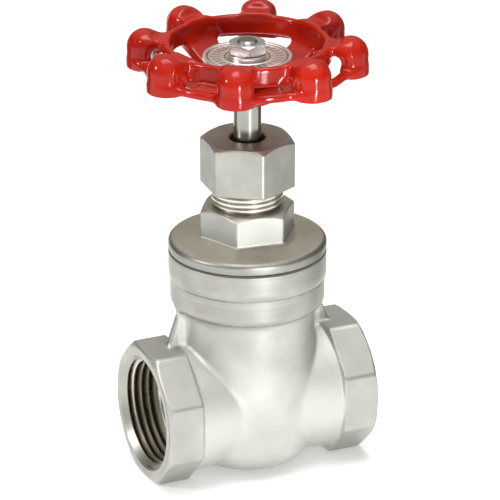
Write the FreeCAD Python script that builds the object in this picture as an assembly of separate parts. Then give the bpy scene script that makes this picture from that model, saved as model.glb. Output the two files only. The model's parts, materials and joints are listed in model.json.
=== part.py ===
import FreeCAD, Part
import math
import os

# One inch gate valve with screwed ends, a screwed bonnet and a non-rising stem.
# Millimetres. The flow runs along X, the stem stands along +Z, and the origin is
# on the surface that the two octagonal ends rest on, below the stem's axis.

V = FreeCAD.Vector

# ---- driving dimensions: body --------------------------------------------------
FACE_TO_FACE = 67.0          # over the two screwed ends
END_ACROSS_FLATS = 40.0      # octagon that the pipe wrench holds
END_LENGTH = 11.0            # length of each octagon
AXIS_Z = END_ACROSS_FLATS / 2
NECK_R_END = 19.5            # neck beside the octagon
NECK_R_MIDDLE = 18.2         # neck at the barrel's axis
BARREL_R = 19.6
BARREL_BOTTOM_Z = 1.0
BARREL_CORNER = 9.0          # radius under the barrel
CAST_BLEND = 3.0             # radius where the necks and the collar meet the barrel
END_EDGE = 0.6               # cast radius on the octagons' edges
COLLAR_R = 23.1              # turned band at the top of the body
COLLAR_CAST_R = 22.6         # as-cast band below it
COLLAR_LOW_Z = 50.2
COLLAR_STEP_Z = 59.0
COLLAR_TOP_Z = 66.6
COLLAR_CORNER = 2.2          # radius under the collar
COLLAR_CHAMFER = 0.3         # where the turned band starts
RIB_THICKNESS = 3.0
RIB_EDGE = 0.7
RIB_ROOT_X = 10.0            # buried in the barrel
RIB_ROOT_Z = 33.0
RIB_TOP_X = 22.0
RIB_TOP_Z = 51.0
RIB_FOOT_X = 26.2
RIB_FOOT_Z = 39.0

# ---- driving dimensions: pipe thread G1 -----------------------------------------
THREAD_CREST_R = 30.291 / 2
THREAD_ROOT_R = 33.249 / 2
THREAD_PITCH = 2.309
THREAD_DEPTH = 14.0          # drilled this deep from the end face
THREAD_TURNS = 4             # full turns behind the chamfer, then a plain run-out
THREAD_MOUTH_R = 16.9        # mouth of the entry chamfer
THREAD_MOUTH_DEPTH = 1.9
THREAD_OVERCUT = 0.3         # how far a groove's cutter reaches past the crests
THREAD_LAND = 0.02           # least land left between two cutters

# ---- driving dimensions: inside the body ------------------------------------------
BORE_R = 11.5
SEAT_R = 13.6                # outside of the raised seat rings
SEAT_ROOT = 4.0              # how far each seat ring runs on into the wall
SEAT_X = 8.3                 # seat face at the pipe's axis
SEAT_ANGLE = 5.0             # taper of each seat, degrees
CHAMBER_R = 16.4
CHAMBER_BOTTOM_Z = 4.4
SPIGOT_BORE_R = 20.0         # collar's thread for the bonnet
SPIGOT_BORE_Z = 59.4
GUIDE_THICKNESS = 2.4
GUIDE_INNER_Y = 12.6
GUIDE_TOP_Z = 57.0

# ---- driving dimensions: wedge ------------------------------------------------------
LIFT = 26.0
STEM_LEAD = 3.0
WEDGE_R = 13.3
SEAT_CLEARANCE = 0.12
WEDGE_BOSS_R = 8.0
WEDGE_SHOULDER = 12.0        # how far the shoulders rise above the pipe's axis
WEDGE_TOP_Z = 42.8           # top of the boss when shut
GUIDE_CLEARANCE = 0.4        # between a guide and the bottom of its slot
STEM_HOLE_BOTTOM_Z = 8.6

# ---- driving dimensions: bonnet -----------------------------------------------------
GASKET_THICKNESS = 0.5
BONNET_R = 23.1
BONNET_LOW_Z = COLLAR_TOP_Z + GASKET_THICKNESS
BONNET_RIM_Z = 70.5
BONNET_EDGE = 0.6            # eased edge of the flange
BONNET_CONE_Z = 71.9         # where the shallow cone meets the hexagon
BONNET_HEX_AF = 24.9
BONNET_HEX_TOP_Z = 80.8
BONNET_HEX_TURN = -126.97    # direction of one corner, degrees
SPIGOT_R = 19.92
SPIGOT_INNER_R = 17.2
SPIGOT_LOW_Z = 60.0
NECK_THREAD_R = 10.4         # thread for the packing nut
NECK_THREAD_DEPTH = 0.75
NECK_THREAD_PITCH = 1.5
NECK_UNDERCUT = 1.7          # from the hexagon's top to the first thread
NECK_CHAMFER = 0.8
NECK_TOP_Z = 95.0
WEDGE_ROOM_Z = 66.4          # where the spigot's hollow narrows
WEDGE_ROOM_R = 9.3           # hollow that the wedge's boss rises into
WEDGE_ROOM_TOP_Z = 69.6
LOCK_RING_R = 9.0
LOCK_RING_TOP_Z = 72.4
THRUST_POCKET_R = 7.3
THRUST_POCKET_TOP_Z = 76.4
STUFFING_BOX_R = 7.0
STUFFING_BOX_Z = 80.0

# ---- driving dimensions: stem -----------------------------------------------------------
STEM_R = 4.07
STEM_RUNNING_GAP = 0.08
STEM_THREAD_R = 5.0
STEM_THREAD_DEPTH = 1.75
STEM_LOW_Z = 35.0
STEM_THREAD_TOP_Z = 67.5
STEM_POINT = 1.4             # height of the cone at the lower end
STEM_WAIST_R = 4.2           # between the thread and the collar
STEM_COLLAR_R = 7.0
STEM_COLLAR_LOW_Z = 73.2
STEM_COLLAR_TOP_Z = 75.6
THRUST_WASHER_THICKNESS = 0.7
THRUST_WASHER_GAP = 0.2      # to the wall of its pocket
STEM_END_PLAY = 0.1          # below the stem's collar
WRENCH_SLOT_WIDTH = 1.6      # across the lock ring
WRENCH_SLOT_DEPTH = 1.0
SLIP_FIT = 0.05
FREE_GAP = 0.3
SQUARE_AF = 6.5
SQUARE_LOW_Z = 115.0
SQUARE_TOP_Z = 125.3
STEM_END_R = 3.0
STEM_END_CHAMFER = 0.6
STEM_TOP_Z = 131.0

# ---- driving dimensions: packing and packing nut ---------------------------------------
PACKING_WASHER_THICKNESS = 1.0
PACKING_RING_HEIGHT = 2.85
PACKING_RING_COUNT = 4
PACKING_GAP = 0.05
NUT_AF = 24.4
NUT_LOW_Z = 86.6
NUT_TOP_Z = 101.35
NUT_INNER_TOP_Z = 97.8
NUT_TURN = -95.0             # direction of one corner, degrees
NUT_BORE_R = 5.2
NUT_BORE_CHAMFER = 0.4
NUT_MOUTH = 0.6              # chamfer at the mouth of its thread
GLAND_FLANGE_R = 9.6
GLAND_FLANGE_THICKNESS = 1.7

# ---- driving dimensions: handwheel ---------------------------------------------------------
KNOB_COUNT = 8
SPOKE_COUNT = 4
WHEEL_TURN = 14.3            # direction of one knob, degrees
KNOB_R = 5.15
KNOB_CENTRE_R = 29.6
KNOB_DOME_Z = 127.85         # centre of the dome
KNOB_HOLLOW_R = 27.5         # inner side of each knob, below the bridge
BRIDGE_LOW_Z = 128.0         # underside of the bridge from ring to knob
BRIDGE_TOP_Z = 130.9
BRIDGE_WIDTH = 8.6
RING_R = 24.2
RING_INNER_R = 22.0
RING_LOW_Z = 124.7
RING_TOP_Z = 130.6
BAND_VALLEY_R = 30.0
BAND_LOBE_R = 34.3
BAND_INNER_R = 27.5
LOBE_R = 6.0                 # round lobe of the band below each knob
LOBE_HALF_ANGLE = 60.0
BAND_LOW_Z = 122.0
BAND_TOP_Z = 124.5
SPOKE_WIDTH = 10.5
SPOKE_THICKNESS = 3.2
SPOKE_HUB_Z = 116.4          # middle of the spoke at the hub's wall
SPOKE_RIM_Z = 123.4          # middle of the spoke below the ring
SPOKE_ROOT = 2.5             # buried in the hub
SPOKE_TIP = 0.8              # buried in the band
SPOKE_HEEL = 2.4             # fillet-like heel up the ring's inner wall
HUB_R = 8.6
HUB_LOW_Z = 113.6
HUB_TOP_Z = 125.2
HUB_RELIEF = 0.15            # round hole around the stem below the square
SQUARE_CLEARANCE = 0.05

# ---- driving dimensions: nameplate, washer and nut on top of the handwheel -----------------
PLATE_R = 12.8
PLATE_THICKNESS = 0.6
PLATE_RIM = 0.9
PLATE_RIM_RISE = 0.3
WASHER_R = 5.6
WASHER_THICKNESS = 1.2
WASHER_SPLIT = 0.7
WASHER_SPLIT_ANGLE = 25.0
THREAD_CLEARANCE = 0.1       # around the stem's threaded end
SMALL_NUT_AF = 10.0
SMALL_NUT_HEIGHT = 3.2
SMALL_NUT_TURN = 10.0        # direction of one corner, degrees


# ---- driving dimensions: corners turned off the hexagons and octagons ----------------------
CHAMFER_CIRCLE = 0.985       # circle left on the face, as a share of the width over the flats
CHAMFER_ANGLE = 30.0


# ---- helpers -----------------------------------------------------------------------------
def turned(points):
    """solid of revolution about Z from (radius, height) corners"""
    corners = [V(r, 0, z) for r, z in points]
    outline = Part.makePolygon(corners + corners[:1])
    return Part.Face(outline).revolve(V(0, 0, 0), V(0, 0, 1), 360)


def tube(outer_r, inner_r, low_z, top_z):
    """plain round ring about Z"""
    outer = Part.makeCylinder(outer_r, top_z - low_z, V(0, 0, low_z))
    return outer.cut(Part.makeCylinder(inner_r, top_z - low_z, V(0, 0, low_z)))


def about_z(shape, degrees):
    """copy of the shape turned about the stem's axis"""
    copy = shape.copy()
    copy.rotate(V(0, 0, 0), V(0, 0, 1), degrees)
    return copy


def prism(sides, across_flats, low_z, top_z, corner_direction):
    """upright prism with a regular outline"""
    corner_r = across_flats / 2 / math.cos(math.pi / sides)
    corners = []
    for k in range(sides):
        a = math.radians(corner_direction + 360.0 * k / sides)
        corners.append(V(corner_r * math.cos(a), corner_r * math.sin(a), low_z))
    outline = Part.makePolygon(corners + corners[:1])
    return Part.Face(outline).extrude(V(0, 0, top_z - low_z))


def chamfered_prism(sides, across_flats, low_z, top_z, corner_direction, low, top):
    """upright prism whose corners are turned off where low or top says so"""
    corner_r = across_flats / 2 / math.cos(math.pi / sides)
    flat_r = across_flats / 2 * CHAMFER_CIRCLE
    drop = (corner_r - flat_r) * math.tan(math.radians(CHAMFER_ANGLE))
    outline = [(0, low_z), (flat_r if low else corner_r, low_z)]
    if low:
        outline.append((corner_r, low_z + drop))
    if top:
        outline.append((corner_r, top_z - drop))
    outline += [(flat_r if top else corner_r, top_z), (0, top_z)]
    return prism(sides, across_flats, low_z, top_z, corner_direction).common(turned(outline))


def thread_grooves(crest_r, root_r, pitch, low_z, turns):
    """rings of thread form, as solids to cut away; they follow the pitch but not the helix"""
    flat = pitch / 6
    past = THREAD_OVERCUT if root_r > crest_r else -THREAD_OVERCUT
    flank = (pitch - 2 * flat) / 2 / (root_r - crest_r)
    half_mouth = (pitch - flat) / 2 + flank * past
    half_mouth = min(half_mouth, pitch / 2 - THREAD_LAND)
    rings = []
    for k in range(turns):
        z = low_z + (k + 0.5) * pitch
        rings.append(turned([
            (crest_r - past, z - half_mouth),
            (root_r, z - flat / 2),
            (root_r, z + flat / 2),
            (crest_r - past, z + half_mouth),
        ]))
    return rings


def along_x(shape, side):
    """turn a shape made about Z, with its mouth up, to the end of the pipe's axis on this side"""
    copy = shape.copy()
    copy.rotate(V(0, 0, 0), V(0, 1, 0), 90 * side)
    copy.translate(V(0, 0, AXIS_Z))
    return copy


# ---- body ---------------------------------------------------------------------------------
def barrel():
    """upright barrel with a rounded flat bottom, and the collar on top of it"""
    c = BARREL_CORNER
    k = math.sqrt(0.5)
    base = V(0, 0, BARREL_BOTTOM_Z)
    side_low = V(BARREL_R, 0, BARREL_BOTTOM_Z + c)
    d = COLLAR_CORNER
    turned_z = COLLAR_STEP_Z + COLLAR_CHAMFER
    edges = [
        Part.LineSegment(base, V(BARREL_R - c, 0, BARREL_BOTTOM_Z)),
        Part.Arc(
            V(BARREL_R - c, 0, BARREL_BOTTOM_Z),
            V(BARREL_R - c + c * k, 0, BARREL_BOTTOM_Z + c - c * k),
            side_low,
        ),
        Part.LineSegment(side_low, V(BARREL_R, 0, COLLAR_LOW_Z)),
        Part.LineSegment(V(BARREL_R, 0, COLLAR_LOW_Z), V(COLLAR_CAST_R - d, 0, COLLAR_LOW_Z)),
        Part.Arc(
            V(COLLAR_CAST_R - d, 0, COLLAR_LOW_Z),
            V(COLLAR_CAST_R - d + d * k, 0, COLLAR_LOW_Z + d - d * k),
            V(COLLAR_CAST_R, 0, COLLAR_LOW_Z + d),
        ),
        Part.LineSegment(V(COLLAR_CAST_R, 0, COLLAR_LOW_Z + d), V(COLLAR_CAST_R, 0, COLLAR_STEP_Z)),
        Part.LineSegment(V(COLLAR_CAST_R, 0, COLLAR_STEP_Z), V(COLLAR_R, 0, turned_z)),
        Part.LineSegment(V(COLLAR_R, 0, turned_z), V(COLLAR_R, 0, COLLAR_TOP_Z)),
        Part.LineSegment(V(COLLAR_R, 0, COLLAR_TOP_Z), V(0, 0, COLLAR_TOP_Z)),
        Part.LineSegment(V(0, 0, COLLAR_TOP_Z), base),
    ]
    wire = Part.Wire([e.toShape() for e in edges])
    return Part.Face(wire).revolve(V(0, 0, 0), V(0, 0, 1), 360)


def neck(side):
    """round neck from the barrel to one octagon"""
    length = FACE_TO_FACE / 2 - END_LENGTH / 2
    return along_x(Part.makeCone(NECK_R_MIDDLE, NECK_R_END, length), side)


def octagon_end(side):
    """octagon with rounded cast edges and its outer corners turned off"""
    end = FACE_TO_FACE / 2
    back = end - END_LENGTH
    octagon = prism(8, END_ACROSS_FLATS, back, end, 22.5)
    edges = [e for e in octagon.Edges if e.BoundBox.ZLength > 1 or e.BoundBox.ZMax < back + 0.01]
    octagon = octagon.makeFillet(END_EDGE, edges)
    turned_off = chamfered_prism(8, END_ACROSS_FLATS, back, end, 22.5, False, True)
    return along_x(octagon.common(turned_off), side)


def rib(side):
    """web in the valve's middle plane, from the collar down to the octagon"""
    corners = [
        V(side * RIB_ROOT_X, 0, RIB_TOP_Z),
        V(side * RIB_TOP_X, 0, RIB_TOP_Z),
        V(side * RIB_FOOT_X, 0, RIB_FOOT_Z),
        V(side * RIB_ROOT_X, 0, RIB_ROOT_Z),
    ]
    web = Part.Face(Part.makePolygon(corners + corners[:1])).extrude(V(0, RIB_THICKNESS, 0))
    web.translate(V(0, -RIB_THICKNESS / 2, 0))
    outer = [e for e in web.Edges if e.BoundBox.YLength < 0.01 and abs(e.BoundBox.Center.x) > RIB_TOP_X]
    return web.makeFillet(RIB_EDGE, outer)


def casting():
    """barrel and necks with their blends, then the octagons and ribs"""
    core = barrel().fuse([neck(-1), neck(1)]).removeSplitter()
    blends = []
    for edge in core.Edges:
        at_neck = isinstance(edge.Curve, Part.BSplineCurve)
        at_collar = isinstance(edge.Curve, Part.Circle) and abs(edge.BoundBox.Center.z - COLLAR_LOW_Z) < 0.01
        if at_neck or (at_collar and edge.Curve.Radius < BARREL_R + 0.1):
            blends.append(edge)
    core = core.makeFillet(CAST_BLEND, blends)
    for side in (-1, 1):
        core = core.fuse([octagon_end(side), rib(side)])
    return core.removeSplitter()


def port(side):
    """threaded hole from one end face, as solids to cut away"""
    end = FACE_TO_FACE / 2
    hole = Part.makeCylinder(THREAD_CREST_R, THREAD_DEPTH, V(0, 0, end - THREAD_DEPTH))
    mouth = turned([
        (0, end),
        (THREAD_MOUTH_R, end),
        (THREAD_CREST_R, end - THREAD_MOUTH_DEPTH),
        (0, end - THREAD_MOUTH_DEPTH),
    ])
    low = end - THREAD_MOUTH_DEPTH - THREAD_TURNS * THREAD_PITCH
    grooves = thread_grooves(THREAD_CREST_R, THREAD_ROOT_R, THREAD_PITCH, low, THREAD_TURNS)
    return [along_x(s, side) for s in [hole, mouth] + grooves]


def seat_plane_tool(side, gap):
    """large block that holds everything on this side of one tapered seat face"""
    size = FACE_TO_FACE
    block = Part.makeBox(size, size, size, V(0, -size / 2, -size / 2))
    block.rotate(V(0, 0, 0), V(0, 1, 0), SEAT_ANGLE)
    if side < 0:
        block.rotate(V(0, 0, 0), V(0, 0, 1), 180)
    block.translate(V(side * (SEAT_X - gap), 0, AXIS_Z))
    return block


def chamber():
    """room for the wedge: a round well less the two seat rings and the two guides"""
    well = Part.makeCylinder(CHAMBER_R, SPIGOT_BORE_Z - CHAMBER_BOTTOM_Z, V(0, 0, CHAMBER_BOTTOM_Z))
    for side in (-1, 1):
        ring = along_x(Part.makeCylinder(SEAT_R, CHAMBER_R + SEAT_ROOT), side)
        well = well.cut(ring.common(seat_plane_tool(side, 0)))
        y = GUIDE_INNER_Y if side > 0 else -GUIDE_INNER_Y - CHAMBER_R
        guide = Part.makeBox(GUIDE_THICKNESS, CHAMBER_R, GUIDE_TOP_Z, V(-GUIDE_THICKNESS / 2, y, 0))
        well = well.cut(guide)
    return well


def body():
    """cast body with its machined ports, seats and bonnet thread"""
    bore = along_x(Part.makeCylinder(BORE_R, FACE_TO_FACE, V(0, 0, -FACE_TO_FACE / 2)), 1)
    spigot_bore = Part.makeCylinder(SPIGOT_BORE_R, COLLAR_TOP_Z - SPIGOT_BORE_Z, V(0, 0, SPIGOT_BORE_Z))
    return casting().cut([chamber(), bore, spigot_bore] + port(-1) + port(1))


# ---- wedge ---------------------------------------------------------------------------------
def wedge():
    """tapered disc with a boss, drilled for the stem and slotted for the guides"""
    disc = along_x(Part.makeCylinder(WEDGE_R, 2 * WEDGE_R, V(0, 0, -WEDGE_R)), 1)
    shoulder_corner = V(-WEDGE_BOSS_R, -WEDGE_BOSS_R, AXIS_Z)
    shoulder = Part.makeBox(2 * WEDGE_BOSS_R, 2 * WEDGE_BOSS_R, WEDGE_SHOULDER, shoulder_corner)
    for side in (-1, 1):
        disc = disc.cut(seat_plane_tool(side, SEAT_CLEARANCE))
        shoulder = shoulder.cut(seat_plane_tool(side, SEAT_CLEARANCE))
    boss = Part.makeCylinder(WEDGE_BOSS_R, WEDGE_TOP_Z - AXIS_Z, V(0, 0, AXIS_Z))
    solid = disc.fuse([shoulder, boss]).removeSplitter()
    hole_r = STEM_THREAD_R + STEM_RUNNING_GAP
    hole = Part.makeCylinder(hole_r, WEDGE_TOP_Z - STEM_HOLE_BOTTOM_Z, V(0, 0, STEM_HOLE_BOTTOM_Z))
    solid = solid.cut(hole)
    width = GUIDE_THICKNESS + 2 * FREE_GAP
    floor_y = GUIDE_INNER_Y - GUIDE_CLEARANCE
    for y in (floor_y, -floor_y - WEDGE_R):
        slot = Part.makeBox(width, WEDGE_R, 2 * WEDGE_R, V(-width / 2, y, AXIS_Z - WEDGE_R))
        solid = solid.cut(slot)
    return solid


# ---- bonnet and what it holds -----------------------------------------------------------------
def bonnet_gasket():
    return tube(COLLAR_R - SLIP_FIT, SPIGOT_BORE_R + SLIP_FIT, COLLAR_TOP_Z, BONNET_LOW_Z)


def bonnet():
    """screwed bonnet: flange, hexagon, stuffing box and the thread for the packing nut"""
    hex_corner = BONNET_HEX_AF / 2 / math.cos(math.pi / 6)
    flange = turned([
        (0, BONNET_LOW_Z),
        (BONNET_R, BONNET_LOW_Z),
        (BONNET_R, BONNET_RIM_Z - BONNET_EDGE),
        (BONNET_R - BONNET_EDGE / 3, BONNET_RIM_Z - BONNET_EDGE / 3),
        (BONNET_R - BONNET_EDGE, BONNET_RIM_Z),
        (hex_corner + BONNET_EDGE, BONNET_CONE_Z),
        (0, BONNET_CONE_Z),
    ])
    hexagon = chamfered_prism(
        6, BONNET_HEX_AF, BONNET_CONE_Z - 1, BONNET_HEX_TOP_Z, BONNET_HEX_TURN, False, True
    )
    root_r = NECK_THREAD_R - NECK_THREAD_DEPTH
    thread_z = BONNET_HEX_TOP_Z + NECK_UNDERCUT
    stem_neck = turned([
        (0, BONNET_HEX_TOP_Z - 1),
        (root_r, BONNET_HEX_TOP_Z - 1),
        (root_r, thread_z - 0.5),
        (NECK_THREAD_R, thread_z),
        (NECK_THREAD_R, NECK_TOP_Z - NECK_CHAMFER),
        (NECK_THREAD_R - NECK_CHAMFER, NECK_TOP_Z),
        (0, NECK_TOP_Z),
    ])
    spigot = Part.makeCylinder(SPIGOT_R, BONNET_LOW_Z - SPIGOT_LOW_Z + 1, V(0, 0, SPIGOT_LOW_Z))
    solid = flange.fuse([hexagon, stem_neck, spigot]).removeSplitter()
    inside = turned([
        (0, SPIGOT_LOW_Z),
        (SPIGOT_INNER_R, SPIGOT_LOW_Z),
        (SPIGOT_INNER_R, WEDGE_ROOM_Z),
        (WEDGE_ROOM_R, WEDGE_ROOM_Z + 1),
        (WEDGE_ROOM_R, WEDGE_ROOM_TOP_Z),
        (LOCK_RING_R, WEDGE_ROOM_TOP_Z),
        (LOCK_RING_R, LOCK_RING_TOP_Z),
        (THRUST_POCKET_R, LOCK_RING_TOP_Z),
        (THRUST_POCKET_R, THRUST_POCKET_TOP_Z),
        (STEM_R + STEM_RUNNING_GAP, THRUST_POCKET_TOP_Z),
        (STEM_R + STEM_RUNNING_GAP, STUFFING_BOX_Z),
        (STUFFING_BOX_R, STUFFING_BOX_Z),
        (STUFFING_BOX_R, NECK_TOP_Z),
        (0, NECK_TOP_Z),
    ])
    turns = int((NECK_TOP_Z - NECK_CHAMFER - thread_z) / NECK_THREAD_PITCH)
    grooves = thread_grooves(NECK_THREAD_R, root_r, NECK_THREAD_PITCH, thread_z, turns)
    return solid.cut([inside] + grooves)


def stem_lock_ring():
    """threaded ring that keeps the stem's collar in the bonnet, with two wrench slots"""
    low_z = WEDGE_ROOM_TOP_Z
    ring = tube(LOCK_RING_R - SLIP_FIT, STEM_THREAD_R + FREE_GAP, low_z, LOCK_RING_TOP_Z)
    corner = V(-LOCK_RING_R, -WRENCH_SLOT_WIDTH / 2, low_z)
    return ring.cut(Part.makeBox(2 * LOCK_RING_R, WRENCH_SLOT_WIDTH, WRENCH_SLOT_DEPTH, corner))


def thrust_washer(low_z):
    top_z = low_z + THRUST_WASHER_THICKNESS
    return tube(THRUST_POCKET_R - THRUST_WASHER_GAP, STEM_THREAD_R + FREE_GAP, low_z, top_z)


def upper_thrust_washer():
    low_z = THRUST_POCKET_TOP_Z - THRUST_WASHER_THICKNESS
    bore_r = STEM_R + STEM_RUNNING_GAP
    return tube(THRUST_POCKET_R - THRUST_WASHER_GAP, bore_r, low_z, THRUST_POCKET_TOP_Z)


def packing_ring(index):
    """square ring of packing around the stem, counted from the bottom"""
    low_z = STUFFING_BOX_Z + PACKING_WASHER_THICKNESS + index * PACKING_RING_HEIGHT
    return tube(STUFFING_BOX_R, STEM_R + PACKING_GAP, low_z, low_z + PACKING_RING_HEIGHT)


def gland_follower():
    """flanged sleeve that the packing nut presses onto the packing"""
    low_z = STUFFING_BOX_Z + PACKING_WASHER_THICKNESS + PACKING_RING_COUNT * PACKING_RING_HEIGHT
    flange_z = NUT_INNER_TOP_Z - GLAND_FLANGE_THICKNESS
    bore_r = STEM_R + STEM_RUNNING_GAP
    return turned([
        (bore_r, low_z),
        (STUFFING_BOX_R - SLIP_FIT, low_z),
        (STUFFING_BOX_R - SLIP_FIT, flange_z),
        (GLAND_FLANGE_R, flange_z),
        (GLAND_FLANGE_R, NUT_INNER_TOP_Z),
        (bore_r, NUT_INNER_TOP_Z),
    ])


def packing_nut():
    """hexagonal cap nut with a hole for the stem"""
    hexagon = chamfered_prism(6, NUT_AF, NUT_LOW_Z, NUT_TOP_Z, NUT_TURN, False, True)
    inside = turned([
        (0, NUT_LOW_Z),
        (NECK_THREAD_R + NUT_MOUTH, NUT_LOW_Z),
        (NECK_THREAD_R + SLIP_FIT, NUT_LOW_Z + NUT_MOUTH),
        (NECK_THREAD_R + SLIP_FIT, NUT_INNER_TOP_Z),
        (NUT_BORE_R, NUT_INNER_TOP_Z),
        (NUT_BORE_R, NUT_TOP_Z - NUT_BORE_CHAMFER),
        (NUT_BORE_R + NUT_BORE_CHAMFER, NUT_TOP_Z),
        (0, NUT_TOP_Z),
    ])
    return hexagon.cut(inside)


# ---- stem ---------------------------------------------------------------------------------------
def stem():
    """stem with the wedge thread below, its collar, the square for the wheel and a threaded end"""
    root_r = STEM_THREAD_R - STEM_THREAD_DEPTH
    thread_z = STEM_LOW_Z + STEM_POINT
    round_part = turned([
        (0, STEM_LOW_Z),
        (root_r, STEM_LOW_Z),
        (STEM_THREAD_R, thread_z),
        (STEM_THREAD_R, STEM_THREAD_TOP_Z),
        (STEM_WAIST_R, STEM_THREAD_TOP_Z + STEM_THREAD_R - STEM_WAIST_R),
        (STEM_WAIST_R, STEM_COLLAR_LOW_Z),
        (STEM_COLLAR_R, STEM_COLLAR_LOW_Z),
        (STEM_COLLAR_R, STEM_COLLAR_TOP_Z),
        (STEM_R, STEM_COLLAR_TOP_Z),
        (STEM_R, SQUARE_LOW_Z),
        (0, SQUARE_LOW_Z),
    ])
    square = prism(4, SQUARE_AF, SQUARE_LOW_Z, SQUARE_TOP_Z, WHEEL_TURN)
    square = square.common(Part.makeCylinder(STEM_R, SQUARE_TOP_Z - SQUARE_LOW_Z, V(0, 0, SQUARE_LOW_Z)))
    end = turned([
        (0, SQUARE_TOP_Z - 0.5),
        (STEM_END_R, SQUARE_TOP_Z - 0.5),
        (STEM_END_R, STEM_TOP_Z - STEM_END_CHAMFER),
        (STEM_END_R - STEM_END_CHAMFER, STEM_TOP_Z),
        (0, STEM_TOP_Z),
    ])
    turns = int((STEM_THREAD_TOP_Z - thread_z) / STEM_LEAD)
    grooves = thread_grooves(STEM_THREAD_R, root_r, STEM_LEAD, thread_z, turns)
    return round_part.fuse([square, end]).removeSplitter().cut(grooves)


# ---- handwheel -------------------------------------------------------------------------------------
def band_outline():
    """wavy outer edge of the lower band: a round lobe at each knob, a shallow hollow between"""
    step = 2 * math.pi / KNOB_COUNT
    half = math.radians(LOBE_HALF_ANGLE)
    shoulder_x = BAND_LOBE_R - LOBE_R + LOBE_R * math.cos(half)
    shoulder_y = LOBE_R * math.sin(half)
    shoulder_r = math.hypot(shoulder_x, shoulder_y)
    shoulder_a = math.atan2(shoulder_y, shoulder_x)

    def at(radius, angle):
        return V(radius * math.cos(angle), radius * math.sin(angle), BAND_LOW_Z)

    edges = []
    for k in range(KNOB_COUNT):
        a = math.radians(WHEEL_TURN) + k * step
        lobe = Part.Arc(at(shoulder_r, a - shoulder_a), at(BAND_LOBE_R, a), at(shoulder_r, a + shoulder_a))
        hollow = Part.Arc(
            at(shoulder_r, a + shoulder_a),
            at(BAND_VALLEY_R, a + step / 2),
            at(shoulder_r, a + step - shoulder_a),
        )
        edges += [lobe.toShape(), hollow.toShape()]
    return Part.Wire(edges)


def knob():
    """upright finger knob with a domed top, on the +X side"""
    centre = V(KNOB_CENTRE_R, 0, BAND_LOW_Z)
    post = Part.makeCylinder(KNOB_R, KNOB_DOME_Z - BAND_LOW_Z, centre)
    dome = Part.makeSphere(KNOB_R, V(KNOB_CENTRE_R, 0, KNOB_DOME_Z))
    hollow = Part.makeCylinder(KNOB_HOLLOW_R, BRIDGE_LOW_Z - BAND_LOW_Z, V(0, 0, BAND_LOW_Z))
    inner_x = (RING_R + RING_INNER_R) / 2
    bridge_corner = V(inner_x, -BRIDGE_WIDTH / 2, BRIDGE_LOW_Z)
    bridge = Part.makeBox(KNOB_CENTRE_R - inner_x, BRIDGE_WIDTH, BRIDGE_TOP_Z - BRIDGE_LOW_Z, bridge_corner)
    return post.fuse(dome).cut(hollow).fuse(bridge)


def spoke():
    """broad flat spoke that slopes from below the ring down to the hub, on the +X side"""
    inner_x = HUB_R - SPOKE_ROOT
    outer_x = BAND_INNER_R + SPOKE_TIP
    slope = (SPOKE_RIM_Z - SPOKE_HUB_Z) / (RING_INNER_R - HUB_R)
    inner_z = SPOKE_HUB_Z - slope * SPOKE_ROOT
    half = SPOKE_THICKNESS / 2
    corners = [
        V(inner_x, 0, inner_z - half),
        V(RING_INNER_R, 0, SPOKE_RIM_Z - half),
        V(outer_x, 0, BAND_LOW_Z),
        V(outer_x, 0, BAND_TOP_Z),
        V(RING_R, 0, RING_LOW_Z + SPOKE_HEEL / 2),
        V(RING_INNER_R, 0, RING_LOW_Z + SPOKE_HEEL),
        V(RING_INNER_R - SPOKE_HEEL, 0, SPOKE_RIM_Z + half),
        V(inner_x, 0, inner_z + half),
    ]
    plate = Part.Face(Part.makePolygon(corners + corners[:1])).extrude(V(0, SPOKE_WIDTH, 0))
    plate.translate(V(0, -SPOKE_WIDTH / 2, 0))
    return plate


def handwheel():
    """die-cast wheel: ring, wavy band, eight knobs, four spokes and the hub"""
    ring = tube(RING_R, RING_INNER_R, RING_LOW_Z, RING_TOP_Z)
    band = Part.Face(band_outline()).extrude(V(0, 0, BAND_TOP_Z - BAND_LOW_Z))
    band = band.cut(Part.makeCylinder(BAND_INNER_R, BAND_TOP_Z - BAND_LOW_Z, V(0, 0, BAND_LOW_Z)))
    hub = Part.makeCylinder(HUB_R, HUB_TOP_Z - HUB_LOW_Z, V(0, 0, HUB_LOW_Z))
    pieces = [band, hub]
    for k in range(KNOB_COUNT):
        pieces.append(about_z(knob(), WHEEL_TURN + 360.0 * k / KNOB_COUNT))
    for k in range(SPOKE_COUNT):
        pieces.append(about_z(spoke(), WHEEL_TURN + 360.0 * k / SPOKE_COUNT))
    solid = ring.fuse(pieces).removeSplitter()
    relief = Part.makeCylinder(STEM_R + HUB_RELIEF, SQUARE_LOW_Z - HUB_LOW_Z + HUB_RELIEF, V(0, 0, HUB_LOW_Z))
    square = prism(4, SQUARE_AF + 2 * SQUARE_CLEARANCE, SQUARE_LOW_Z, HUB_TOP_Z, WHEEL_TURN)
    round_r = STEM_R + SQUARE_CLEARANCE
    round_hole = Part.makeCylinder(round_r, HUB_TOP_Z - SQUARE_LOW_Z, V(0, 0, SQUARE_LOW_Z))
    return solid.cut([relief, square.common(round_hole)])


def nameplate():
    """pressed disc with a raised rim, held on the hub by the nut"""
    low_z = SQUARE_TOP_Z
    top_z = low_z + PLATE_THICKNESS
    return turned([
        (STEM_END_R + THREAD_CLEARANCE, low_z),
        (PLATE_R, low_z),
        (PLATE_R, top_z + PLATE_RIM_RISE),
        (PLATE_R - PLATE_RIM, top_z + PLATE_RIM_RISE),
        (PLATE_R - PLATE_RIM - PLATE_RIM_RISE, top_z),
        (STEM_END_R + THREAD_CLEARANCE, top_z),
    ])


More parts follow.
